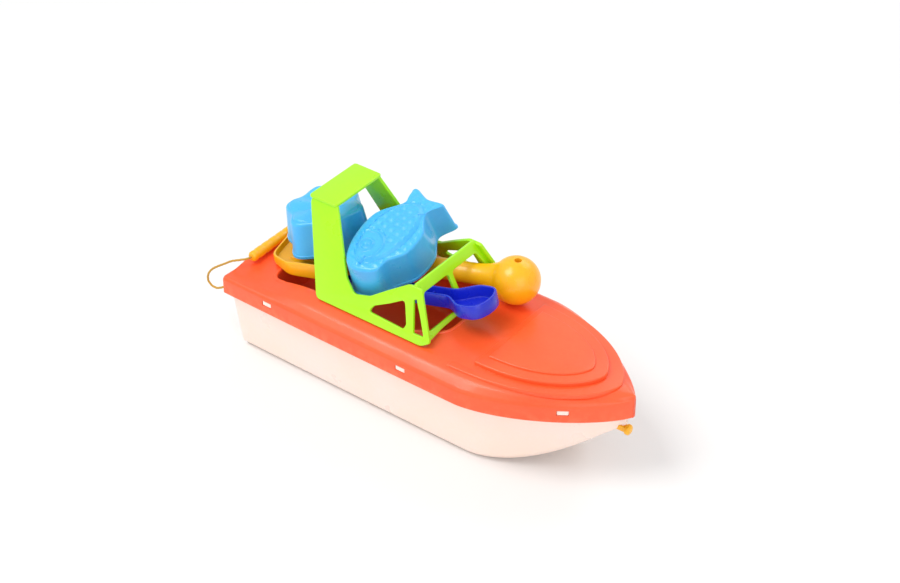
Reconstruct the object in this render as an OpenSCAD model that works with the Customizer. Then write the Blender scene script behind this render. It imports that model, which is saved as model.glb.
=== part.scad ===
// Toy motor boat for the beach: a white hull with a coral deck snapped over it, a lime cabin
// frame, and the sand toys that travel in its cockpit. Millimetres. The bow points along +X,
// +Z is up, and the boat stands on Z = 0 with its origin under the middle.

/* [Boat] */
// Length of the deck from transom to bow
boat_l = 360; // [320:5:440]
// Full width of the deck
beam = 142; // [130:2:170]
// Height of the deck skirt's lower edge above the ground
hull_h = 62; // [54:1:75]
// Height of the deck skirt
skirt_h = 15; // [13:1:18]
// Wall of the hull and the deck
wall = 2.2; // [1.6:0.2:3]
// How far the hull stands inside the deck skirt
hull_inset = 6; // [5:0.5:8]
// Clearance between pieces that touch or fit
gap = 0.3; // [0.2:0.05:0.5]

/* [Cockpit] */
// Length of the cockpit opening
cockpit_l = 166; // [150:2:180]
// Width of the cockpit opening
cockpit_w = 92; // [84:2:100]
// Depth of the cockpit floor below the skirt's lower edge
cockpit_d = 22; // [14:1:30]
// Distance from the transom to the cockpit
aft_deck = 36; // [30:1:44]

/* [Cabin] */
// Width of the cabin frame at its feet
cabin_w = 110; // [106:1:116]
// Inward lean of the cabin sides, in degrees
cabin_lean = 20; // [16:1:23]
// Thickness of the cabin frame's plastic
cabin_t = 3; // [2.4:0.2:4]
// Length of the cabin's sill
cabin_l = 98; // [90:1:106]
// Height of the roll bar above the deck
cabin_h = 75; // [68:1:84]
// Width of the roll bar's band
band_w = 28; // [22:1:32]

/* [Sand moulds] */
// Length of the fish mould
fish_l = 90; // [82:1:94]
// Width of the fish mould
fish_w = 54; // [46:1:56]
// Depth of both moulds
mould_d = 32; // [26:1:34]
// Wall of both moulds
mould_wall = 2; // [1.6:0.2:2.6]
// Radius of the shell mould
shell_r = 31; // [26:1:32]

/* [Hand tools] */
// Diameter of the shovel's grip
grip_d = 14; // [11:0.5:16]
// Diameter of the ball at the shovel's end
ball_d = 40; // [32:1:42]
// Diameter of the hanging hole in the ball
hang_d = 6; // [4:0.5:8]
// Width of the shovel's blade
blade_w = 68; // [56:1:70]
// Length of the shovel's blade
blade_l = 76; // [64:1:80]
// Width of the rake's head
rake_w = 62; // [50:1:66]
// Number of tines on the rake
tines = 5; // [4:1:6]

/* [Tow line] */
// Diameter of the tow handle
handle_d = 9; // [7:0.5:11]
// Length of the tow handle
handle_l = 84; // [70:1:90]
// Diameter of the tow cord
cord_d = 2; // [1.5:0.1:3]

/* [Hidden] */
$fn = 32;
half = boat_l / 2;
skirt_z = hull_h;
deck_z = hull_h + skirt_h;
sheer = 9;                        // the side deck amidships above the skirt's top
crown = 4;                        // the deck's crown above its sides
full_x = boat_l / 6;              // where the bow starts to taper
hull_back = 4;                    // the hull's transom inside the deck's transom
hull_lip = 9;                     // how far the hull's rim reaches up inside the skirt
chine = 6;                        // size of the bevel along the hull's bottom edges
stations = 34;
slot_l = 9;
slot_h = 4;
slot_x = [-132 / 360, 7 / 360, 140 / 360];
slot_z = skirt_z + 9;

// ---- outlines ----
function taper(x) = max(0, (x - full_x) / (half - full_x));
function deck_half(x) = x < full_x
    ? beam / 2 * (1 - 0.03 * pow((full_x - x) / (full_x + half), 2))
    : beam / 2 * pow(max(0, 1 - pow(taper(x), 1.55)), 0.79);
function rise(x) = sheer * (x < -half * 0.2
    ? 0.5 - 0.5 * cos(180 * min(1, max(0, (x + half * 0.9) / (half * 0.38))))
    : 1 - 0.75 * pow(taper(x), 1.5));
function keel_z(x) = (hull_h - 4) * pow(max(0, (x - half * 0.3) / (half * 0.7)), 2.3);
function hull_half(x) = max(2.2, deck_half(x + hull_inset * taper(x)) - hull_inset);
function foot_half(x) = max(0.8, hull_half(x) * (0.84 - 0.4 * pow(taper(x), 2)));
function ease(i) = let (t = i / stations) 1 - pow(1 - t, 1.6);
function mix(a, b, t) = a + (b - a) * t;
function at_x(x, p) = [for (q = p) [x, q[0], q[1]]];
// A half-section, from the middle out to the edge, made whole
function both(p) = concat([for (k = [len(p) - 1:-1:1]) [-p[k][0], p[k][1]]], p);
function back(p) = [for (k = [len(p) - 1:-1:0]) p[k]];
// The loop round a thin wall between an outer and an inner half-section
function wall_loop(x, outer, inner) = at_x(x, concat(both(outer), back(both(inner))));

// A solid whose cross-sections are loops of equally many points
module loft(loops) {
    n = len(loops[0]);
    m = len(loops);
    polyhedron(points = [for (l = loops) each l],
        faces = concat([[for (j = [0:n - 1]) j]], [[for (j = [n - 1:-1:0]) (m - 1) * n + j]],
            [for (i = [0:m - 2], j = [0:n - 1]) let (k = (j + 1) % n)
                each [[i * n + j, (i + 1) * n + j, (i + 1) * n + k], [i * n + j, (i + 1) * n + k, i * n + k]]]),
        convexity = 8);
}

// Corner points of a polygon, each rounded to a radius by a short arc
function unit(v) = v / norm(v);
function rounded(pts, r, steps = 5) = [for (i = [0:len(pts) - 1])
    let (p = pts[i], a = unit(pts[(i + len(pts) - 1) % len(pts)] - p), b = unit(pts[(i + 1) % len(pts)] - p),
        h = acos(max(-1, min(1, a * b))) / 2, rr = is_num(r) ? r : r[i],
        c = p + unit(a + b) * rr / sin(h), s = p + a * rr / tan(h), e = p + b * rr / tan(h),
        a0 = atan2(s[1] - c[1], s[0] - c[0]), d0 = atan2(e[1] - c[1], e[0] - c[0]) - a0,
        d = d0 > 180 ? d0 - 360 : d0 < -180 ? d0 + 360 : d0)
    each [for (k = [0:steps]) c + rr * [cos(a0 + d * k / steps), sin(a0 + d * k / steps)]]];

// A point between b and c on a smooth curve that also runs through a and d
function bend(a, b, c, d, t) =
    0.5 * (2 * b + (c - a) * t + (2 * a - 5 * b + 4 * c - d) * t * t + (3 * b - a - 3 * c + d) * t * t * t);

// ---- hull ----
hull_x0 = -half + hull_back;
hull_x1 = half - hull_inset;
function hull_side(x, t) = let (top = skirt_z + hull_lip, zb = keel_z(x) + t,
        h = max(0.6, hull_half(x) - t),
        f = max(0.5, foot_half(x) - t), c = min(chine, f * 0.6))
    [[0, zb], [f - c, zb], [f - c * 0.3, zb + c * 0.3], [mix(f, h, c / skirt_z), zb + c],
     [mix(f, h, 0.55), mix(zb + c, skirt_z, 0.5)], [h, skirt_z], [h, top]];

// A snap tab on each side of the hull's rim, or with grow the slot in the skirt that it fills
module tab_at(x, grow, out) {
    turn = atan2(deck_half(x + 1) - deck_half(x - 1), 2);
    for (s = [0, 1]) mirror([0, s, 0]) translate([x, deck_half(x), slot_z]) rotate([0, 0, turn])
        translate([-slot_l / 2 - grow, -hull_inset - wall / 2, -slot_h / 2 - grow])
            cube([slot_l + 2 * grow, hull_inset + wall / 2 + out, slot_h + 2 * grow]);
}
module hull() color("seashell") difference() {
    hull_shell();
    cleat_seat(gap);
}
module cleat_seat(grow) translate([half - 24, -plug_d / 2 - grow, cleat_z - plug_d / 2 - grow])
    cube([40, plug_d + 2 * grow, plug_d + 2 * grow]);
module hull_shell() {
    loft([for (i = [0:stations]) let (x = mix(hull_x0, hull_x1, ease(i)))
        wall_loop(x, hull_side(x, 0), hull_side(x, wall))]);
    translate([hull_x0 + wall / 4, 0, 0]) rotate([90, 0, 90]) linear_extrude(wall)
        polygon(both([for (k = [0:6]) hull_side(hull_x0, wall / 2)[k] - [0, k > 5 ? 1 : 0]]));
    for (f = slot_x) tab_at(f * boat_l, 0, 0);
}

// ---- deck ----
cockpit_x0 = -half + aft_deck;
cockpit_x1 = cockpit_x0 + cockpit_l;
floor_z = skirt_z - cockpit_d;
function deck_side(x, t) = let (b = max(bow_min, deck_half(x) - t), z = deck_z - t, up = rise(x))
    [[0, z + up + crown], [b * 0.45, z + up + crown * 0.8], [b * 0.76, z + up],
     [b * 0.89, z + up * 0.62 + 0.4], [b * 0.97, z + 0.9], [b, z - 1.5], [b, skirt_z]];
// The height of the deck's top at a place
function deck_top(x, y) = let (p = deck_side(x, 0), a = abs(y),
        k = [for (i = [0:4]) if (a >= p[i][0] && a <= p[i + 1][0]) i][0])
    mix(p[k][1], p[k + 1][1], (a - p[k][0]) / (p[k + 1][0] - p[k][0]));
function cockpit_plan(grow) = let (w = cockpit_w / 2 + grow, x0 = cockpit_x0 - grow, x1 = cockpit_x1 + grow)
    rounded([[x0, -w], [x1 - 34, -w], [x1, -w * 0.62], [x1, w * 0.62], [x1 - 34, w], [x0, w]],
        [10, 20, 14, 14, 20, 10] + [for (i = [0:5]) grow]);
function bow_plan(inset, x0) = let (x1 = half - inset * 1.15)
    concat([for (i = [0:10]) let (x = mix(x0, x1, ease_bow(i / 10)))
            [x, -max(0.1, deck_half(x + inset * 0.55 * taper(x)) - inset)]],
        [for (i = [9:-1:0]) let (x = mix(x0, x1, ease_bow(i / 10)))
            [x, max(0.1, deck_half(x + inset * 0.55 * taper(x)) - inset)]]);
function ease_bow(t) = 1 - pow(1 - t, 1.7);
plate_z = deck_z + sheer + crown;
bow_min = 1.2;                                    // the deck's half-width at the bow's very tip
panel_x0 = cockpit_x1 + 40;                       // where the foredeck's raised panels start
cleat_z = hull_h * 0.76;
plug_d = 5;
module deck() color("coral") {
    difference() {
        union() {
            loft([for (i = [0:stations]) let (x = mix(-half, half, ease(i)))
                wall_loop(mix(-half, half - 0.6, ease(i)), deck_side(x, wall), deck_side(x, 0))]);
            translate([-half, 0, 0]) rotate([90, 0, 90]) linear_extrude(wall)
                polygon(both(deck_side(-half, 0)));
            // a plug closes the bow's tip between the two walls
            translate([half - 5, 0, 0]) rotate([90, 0, 90]) linear_extrude(5)
                polygon([[-1.7, skirt_z - 0.3], [1.7, skirt_z - 0.3], [1.7, deck_z], [0.3, deck_z + 5.4],
                    [-0.3, deck_z + 5.4], [-1.7, deck_z]]);
            // raised panel and the higher plateau on the foredeck
            translate([0, 0, plate_z - wall - 2]) linear_extrude(wall + 2) polygon(bow_plan(24, panel_x0));
            translate([0, 0, plate_z - 1]) linear_extrude(2.6) polygon(bow_plan(34, panel_x0 + 6));
        }
        translate([0, 0, floor_z]) linear_extrude(hull_h) polygon(cockpit_plan(0));
        for (f = slot_x) tab_at(f * boat_l, gap, 2);
    }
    // the cockpit's tub, with a step at its stern end
    difference() {
        translate([0, 0, floor_z - wall]) linear_extrude(deck_z + 4 - floor_z) polygon(cockpit_plan(wall));
        translate([0, 0, floor_z]) linear_extrude(hull_h) polygon(cockpit_plan(0));
    }
    translate([cockpit_x0 - 1, -cockpit_w / 2 + 8, floor_z - 1]) cube([16, cockpit_w - 16, cockpit_d * 0.55]);
}

// ---- cabin frame ----
cabin_x0 = cockpit_x0 + 53;                       // the roll bar's foot at the stern side
cabin_x1 = cabin_x0 + cabin_l + 14;               // the windshield's foot
sill_z = deck_z + sheer + 1.5;                    // underside of the sill
lean_x = 25;                                      // how far the roll bar leans to the stern
bar_z = 39;                                       // the windshield's top rail above the sill
roof_y = cabin_w / 2 - tan(cabin_lean) * cabin_h;
slant = 1 / cos(cabin_lean);
top_s = cabin_h * slant;
bar_s = bar_z * slant;
front_half = cabin_w / 2 - 4;
front_tilt = 27;                                  // the windshield's rake back from upright
front_s = bar_z / cos(front_tilt);
top_x = cabin_x1 - tan(front_tilt) * bar_z;
module lean_side() translate([0, -cabin_w / 2, sill_z]) rotate([90 - cabin_lean, 0, 0])
    mirror([0, 0, 1]) linear_extrude(cabin_t) children();
module side_profile() difference() {
    polygon(rounded([[cabin_x0, 0], [cabin_x1 - 6, 0], [cabin_x1 + 2, 5], [top_x + 4, bar_s + 3],
        [top_x - 8, bar_s + 3], [top_x - 26, bar_s - 9], [cabin_x0 + 50, 21], [cabin_x0 + 35, 17],
        [cabin_x0 + 25, 27], [cabin_x0 - lean_x + band_w, top_s], [cabin_x0 - lean_x, top_s]],
        [6, 10, 3, 3, 10, 12, 8, 5, 12, 1, 5]));
    polygon(rounded([[cabin_x0 + 52, 8.5], [cabin_x1 - 25, 7], [cabin_x1 - 23, 12],
        [top_x - 9, bar_s - 11], [top_x - 22, bar_s - 19], [cabin_x0 + 56, 15]], 3));
    polygon(rounded([[cabin_x1 - 15, 7.5], [cabin_x1 - 5, 8], [top_x + 2, bar_s - 6],
        [top_x - 1, bar_s - 8]], 1.2));
}
module windshield() translate([cabin_x1, 0, sill_z]) rotate([90 - front_tilt, 0, 90])
    mirror([0, 0, 1]) linear_extrude(cabin_t) difference() {
        top = front_half - tan(cabin_lean) * bar_z;
        polygon([[-front_half, 2.4], [-front_half * 0.6, 5], [0, 5.8], [front_half * 0.6, 5], [front_half, 2.4],
            [top + 2, front_s + 5], [-top - 2, front_s + 5]]);
        for (s = [0, 1]) mirror([s, 0]) polygon(rounded([[2.5, 9.5], [front_half - 5, 9.5],
            [top - 3, front_s - 5], [2.5, front_s - 5]], 4));
    }
module cabin_frame() color("lawngreen") {
    for (s = [0, 1]) mirror([0, s, 0]) lean_side() side_profile();
    translate([cabin_x0 - lean_x, -roof_y - cabin_t / 2, sill_z + cabin_h - 1])
        cube([band_w, 2 * roof_y + cabin_t, cabin_t]);
    windshield();
}

// ---- sand moulds ----
// Each mould stands on its own Z = 0 with the closed face up, then is laid in its place
function inset_loop(p, d) = [for (i = [0:len(p) - 1])
    let (n = len(p), a = unit(p[(i + 1) % n] - p[(i + n - 1) % n])) p[i] + d * [-a[1], a[0]]];
function up(p, z, k = 1) = [for (q = p) [q[0] * k, q[1] * k, z]];
// One closed wall: up the cavity's ceiling, down its inside, round the rim and over the outside
module cup(plan, flare, crest = []) let (inner = inset_loop(plan, mould_wall))
    loft(concat([up(inner, mould_d - mould_wall), up(inner, 0, flare), up(plan, 0, flare),
        up(plan, mould_d - 2), up(inset_loop(plan, 1.2), mould_d)],
        [for (c = crest) up(plan, mould_d + c[0], c[1])]));
fish_at = [cabin_x0 + 41.6, 6.2, sill_z + 24.9];
fish_turn = [0, -20, 80];
f = fish_l / 2;
g = fish_w / 2;
fish_points = [[-f, -g * 0.1], [-f * 0.82, -g * 0.66], [-f * 0.52, -g * 0.72], [-f * 0.2, -g],
    [f * 0.25, -g * 0.9], [f * 0.6, -g * 0.45], [f * 0.96, -g * 0.62], [f * 0.9, 0], [f * 0.96, g * 0.62],
    [f * 0.62, g * 0.5], [f * 0.1, g], [-f * 0.55, g * 0.85], [-f * 0.95, g * 0.4]];
function fish_plan() = let (p = fish_points, n = len(p))
    [for (i = [0:n - 1], t = [0:0.25:0.75])
        bend(p[(i + n - 1) % n], p[i], p[(i + 1) % n], p[(i + 2) % n], t)];
module fish_mould() color("deepskyblue") translate(fish_at) rotate(fish_turn)
    cup(fish_plan(), 1.08, [[0, 0.6], [2, 0.54]]);
shell_at = [cockpit_x0 + 20, 4, deck_z + 23];
shell_turn = [0, -8, 20];
lobes = 6;
function shell_plan() = [for (i = [0:lobes * 8 - 1]) let (a = 360 * (i + 0.5) / (lobes * 8))
    shell_r * (1 + 0.09 * cos(lobes * a)) * [cos(a), sin(a)]];
module shell_mould() color("deepskyblue") translate(shell_at) rotate(shell_turn) {
    cup(shell_plan(), 1.1);
    for (i = [0:lobes - 1]) rotate([0, 0, 360 * i / lobes]) translate([shell_r * 0.3, -1.5, mould_d - 1])
        cube([shell_r * 0.42, 3, 2.6]);
}

// ---- hand tools ----
// Each tool lies along its own X from the working end to the grip's end
shovel_at = [cockpit_x0 - 18, -14, deck_z + 5.6];
shovel_turn = [0, -5.4, 14.2];
grip_x = 211;
blade_h = 14;
function blade_plan(grow) = let (w = blade_w / 2 + grow, x1 = blade_l + grow)
    rounded([[-grow, -w * 0.55], [blade_l * 0.3, -w], [x1 - 14, -w], [x1, -w * 0.5], [x1, w * 0.5],
        [x1 - 14, w], [blade_l * 0.3, w], [-grow, w * 0.55]], [14, 20, 12, 8, 8, 12, 20, 14]);
module shovel() color("orange") translate(shovel_at) rotate(shovel_turn) difference() {
    union() {
        difference() {
            linear_extrude(blade_h) polygon(blade_plan(0));
            translate([0, 0, mould_wall]) linear_extrude(blade_h) polygon(blade_plan(-mould_wall));
            translate([-10, -blade_w, blade_h * 0.35]) rotate([0, -12, 0]) cube([50, blade_w * 2, blade_h * 2]);
        }
        translate([blade_l - 3, 0, grip_d / 2]) rotate([0, 90, 0]) cylinder(d = grip_d, h = grip_x - blade_l - 8);
        translate([grip_x, 0, grip_d / 2]) sphere(d = ball_d, $fn = 48);
        translate([grip_x - 34, 0, grip_d / 2]) rotate([0, 90, 0])
            cylinder(d1 = grip_d, d2 = ball_d * 0.72, h = 22);
    }
    translate([grip_x + 3, 0, -ball_d]) cylinder(d = hang_d, h = ball_d * 3);
}
rake_at = [cabin_x0 - 3, rake_w / 2 + 1 - cockpit_w / 2, deck_z + 1];
rake_turn = [0, -15, 2];
rake_l = 146;
rake_w2 = 12;
end_w = 34;
end_l = 34;
channel = [[0, -rake_w2 / 2], [rake_l - end_l, -rake_w2 / 2], [rake_l - end_l * 0.55, -end_w / 2],
    [rake_l, -end_w / 2], [rake_l + 6, 0], [rake_l, end_w / 2], [rake_l - end_l * 0.55, end_w / 2],
    [rake_l - end_l, rake_w2 / 2], [0, rake_w2 / 2]];
module rake() color("mediumblue") translate(rake_at) rotate(rake_turn) {
    difference() {
        translate([0, 0, -6]) linear_extrude(12) polygon(rounded(channel, [3, 6, 7, 7, 12, 7, 7, 6, 3]));
        translate([0, 0, -6 + mould_wall]) linear_extrude(12)
            polygon(inset_loop(rounded(channel, [3, 6, 7, 7, 12, 7, 7, 6, 3]), mould_wall));
    }
    translate([-8, -rake_w / 2, -6]) cube([9, rake_w, 6]);
    for (i = [0:tines - 1]) translate([-3.5, -rake_w / 2 + 4 + i * (rake_w - 8) / (tines - 1), -20])
        cylinder(d1 = 3, d2 = 7, h = 15);
}

// ---- tow line and cleat ----
handle_x = -half + 4 + handle_d / 2;
handle_z = deck_top(-half, 0) + gap + handle_d / 2;
module tow_handle() color("orange") translate([handle_x, -handle_l / 2, handle_z]) rotate([-90, 0, 0])
    cylinder(d = handle_d, h = handle_l);
// The tow cord's route, from the handle's end round to the transom, measured from the skirt's stern edge
route = [for (p = [[8, -42, 24], [7, -46, 24], [2, -50, 23], [-6, -51, 19], [-15, -50, 12], [-24, -49, 5],
    [-32, -48, -2], [-37, -48, -9], [-38, -48, -16], [-34, -48, -20], [-28, -48, -20], [-21, -48, -16],
    [-14, -48, -10], [-6, -48, -5], [4.4, -48, -3]]) p + [-half, 0, skirt_z]];
function curve(p, i, t) = let (n = len(p) - 1) bend(p[max(0, i - 1)], p[i], p[min(n, i + 1)], p[min(n, i + 2)], t);
cord_line = concat([for (i = [0:len(route) - 2], t = [0, 0.5]) curve(route, i, t)], [route[len(route) - 1]]);
function ring(p, i) = let (n = len(p) - 1, a = unit(p[min(n, i + 1)] - p[max(0, i - 1)]),
        u = unit(cross(a, [0.2, 1, 0.1])), v = cross(a, u))
    [for (j = [0:7]) p[i] + cord_d / 2 * (cos(45 * j) * u + sin(45 * j) * v)];
module tow_cord() color("darkkhaki") loft([for (i = [len(cord_line) - 1:-1:0]) ring(cord_line, i)]);
module bow_cleat() color("gold") {
    translate([half - 24, -plug_d / 2, cleat_z - plug_d / 2]) cube([21, plug_d, plug_d]);
    translate([half - 6, 0, cleat_z]) rotate([0, 90, 0]) cylinder(d = 9, h = 4);
}
hull();
deck();
cabin_frame();
fish_mould();
shell_mould();
shovel();
rake();
tow_handle();
tow_cord();
bow_cleat();
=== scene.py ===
"""A beach toy motor boat with its sand moulds, shovel and rake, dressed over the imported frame.

Lengths are written in millimetres and turned into metres when a mesh is made. The bow points
along +X, +Z is up, and the boat stands on Z = 0.
"""

import logging
import math
from dataclasses import dataclass
from enum import Enum

import bmesh
import bpy
import numpy as np
from mathutils import Matrix, Vector


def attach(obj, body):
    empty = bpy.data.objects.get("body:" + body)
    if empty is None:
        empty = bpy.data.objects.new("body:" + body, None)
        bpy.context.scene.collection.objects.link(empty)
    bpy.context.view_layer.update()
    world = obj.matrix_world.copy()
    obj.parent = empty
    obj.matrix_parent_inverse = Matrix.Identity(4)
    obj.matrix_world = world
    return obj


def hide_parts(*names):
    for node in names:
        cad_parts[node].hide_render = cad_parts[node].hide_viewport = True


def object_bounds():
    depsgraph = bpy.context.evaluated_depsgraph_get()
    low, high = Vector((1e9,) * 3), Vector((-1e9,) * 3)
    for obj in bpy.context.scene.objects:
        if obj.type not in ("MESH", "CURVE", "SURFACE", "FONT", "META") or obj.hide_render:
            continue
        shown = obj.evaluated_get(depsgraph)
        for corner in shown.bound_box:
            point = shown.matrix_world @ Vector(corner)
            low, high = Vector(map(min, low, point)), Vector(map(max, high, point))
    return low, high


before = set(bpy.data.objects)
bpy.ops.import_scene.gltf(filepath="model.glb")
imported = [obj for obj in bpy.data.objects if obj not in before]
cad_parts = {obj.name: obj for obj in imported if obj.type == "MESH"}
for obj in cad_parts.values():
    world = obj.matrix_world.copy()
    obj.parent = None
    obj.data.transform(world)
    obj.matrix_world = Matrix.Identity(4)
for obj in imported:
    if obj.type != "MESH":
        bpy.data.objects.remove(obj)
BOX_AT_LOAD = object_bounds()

LOG = logging.getLogger("toy_boat")
MM = 0.001
SMOOTH_ANGLE = math.radians(32)
JOIN_WITHIN = 1e-7

Colour = tuple[float, float, float]
Shade = tuple[int, int, int]
Place = tuple[float, float, float]
Outline = list[tuple[float, float]]
Socket = bpy.types.NodeSocket
Tree = bpy.types.NodeTree


class Body(Enum):
    """The bodies that the pieces ride on."""

    BOAT = "boat"
    FISH = "fish_mould"
    SHELL = "shell_mould"
    SHOVEL = "shovel"
    RAKE = "rake"


def linear(shade: Shade) -> tuple[float, ...]:
    """Turns a display colour into the linear colour that shaders use.

    Args:
        shade: Red, green and blue, from 0 to 255.

    Returns:
        The linear red, green and blue, from 0 to 1, and an alpha of 1.
    """
    made = []
    for value in shade:
        share = value / 255
        made.append(share / 12.92 if share <= 0.04045 else ((share + 0.055) / 1.055) ** 2.4)
    return (*made, 1.0)


# ---------------------------------------------------------------- finishes


@dataclass(frozen=True)
class Finish:
    """The look of one moulded plastic.

    Attributes:
        slot: The record's material slot.
        base: The plastic's own colour, as a display shows it, from 0 to 255.
        deep: The colour where the plastic is thicker.
        worn: The colour of scuffed edges.
        roughness: The mean roughness.
        coat: The weight of the glossy skin left by the mould.
        glow: How much light the plastic lets through, as a subsurface weight.
        grain_scale: Grains per metre of the mould's texture.
        grain_depth: Strength of the mould's texture.
        drift: How far the colour wanders from place to place.
        wear: How strongly the edges are scuffed.
    """

    slot: str
    base: Shade
    deep: Shade
    worn: Shade
    roughness: float = 0.34
    coat: float = 0.25
    glow: float = 0.06
    grain_scale: float = 900.0
    grain_depth: float = 0.10
    drift: float = 0.35
    wear: float = 0.30


WHITE = Finish(
    "white_shell", (255, 232, 222), (255, 222, 196), (255, 250, 246), coat=0.35, glow=0.12
)
CORAL = Finish(
    "coral_shell", (255, 96, 44), (252, 66, 22), (255, 150, 104), roughness=0.36, glow=0.10
)
LIME = Finish(
    "lime_frame", (174, 244, 10), (140, 226, 4), (216, 252, 110), glow=0.14
)
BLUE = Finish(
    "blue_mould", (74, 190, 252), (44, 158, 240), (160, 222, 255), glow=0.12
)
YELLOW = Finish(
    "yellow_tool", (255, 186, 8), (255, 158, 2), (255, 222, 110), glow=0.14
)
NAVY = Finish(
    "dark_blue_tool", (22, 42, 206), (10, 22, 164), (84, 104, 226), roughness=0.30
)
TWINE = Finish(
    "cord", (206, 160, 66), (158, 112, 34), (232, 200, 128), roughness=0.85, coat=0.0, glow=0.0,
    grain_scale=2600.0, grain_depth=0.55
)

WAVES_PER_METRE = 30.0
WAVE_STRENGTH, WAVE_HEIGHT = 0.12, 0.0012
GRAIN_HEIGHT = 0.0003
GLOW_REACH = (0.004, 0.003, 0.002)


@dataclass(frozen=True)
class Wiring:
    """A node tree in the making, with a short way to add each usual node.

    Attributes:
        tree: The tree that the nodes join.
    """

    tree: Tree

    def feed(self, socket: Socket, value: object) -> None:
        """Links a socket to another one, or sets its constant value.

        Args:
            socket: The socket to feed.
            value: A socket to link from, or a constant.
        """
        if isinstance(value, Socket):
            self.tree.links.new(value, socket)
        else:
            socket.default_value = value

    def add(
        self, kind: str, values: dict[str, object], inside: Tree | None = None
    ) -> bpy.types.Node:
        """Adds a node.

        Args:
            kind: The node's type, without its prefix.
            values: Constants, or the sockets to link from, by the name of the input.
            inside: The group's own tree, for a node that stands for a group.

        Returns:
            The node.
        """
        made = self.tree.nodes.new("ShaderNode" + kind)
        if inside:
            made.node_tree = inside
        for name, value in values.items():
            self.feed(made.inputs[name], value)
        return made

    def noise(self, values: dict[str, object]) -> Socket:
        """Adds a noise texture that is fixed to the object, and gives its value."""
        place = self.add("TexCoord", {})
        made = self.add("TexNoise", {"Vector": place.outputs["Object"], **values})
        return made.outputs["Fac"]

    def spread(
        self,
        value: Socket,
        start: tuple[float, float],
        end: tuple[float, float] = (0.0, 1.0),
    ) -> Socket:
        """Maps one range of a value onto another, and keeps it there.

        Args:
            value: The value to map.
            start: The range that it comes from.
            end: The range that it is mapped onto.

        Returns:
            The mapped value.
        """
        ends = {"From Min": start[0], "From Max": start[1], "To Min": end[0], "To Max": end[1]}
        return self.add("MapRange", {"Value": value, **ends}).outputs["Result"]

    def maths(self, operation: str, *terms: object, held: bool = False) -> Socket:
        """Adds a sum, product or the like.

        Args:
            operation: What is done with the terms.
            *terms: The terms, as constants or sockets.
            held: Whether the outcome is kept from 0 to 1.

        Returns:
            The outcome.
        """
        made = self.tree.nodes.new("ShaderNodeMath")
        made.operation = operation
        made.use_clamp = held
        for index, term in enumerate(terms):
            self.feed(made.inputs[index], term)
        return made.outputs[0]

    def tint(self, share: object, first: object, second: object) -> Socket:
        """Mixes two colours by a share, and gives the mixed colour.

        Args:
            share: How much of the second colour there is.
            first: The first colour.
            second: The second colour.

        Returns:
            The mixed colour.
        """
        made = self.tree.nodes.new("ShaderNodeMix")
        made.data_type = "RGBA"
        for name, value in (("Factor", share), ("A", first), ("B", second)):
            self.feed(made.inputs[name], value)
        return made.outputs["Result"]


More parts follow.
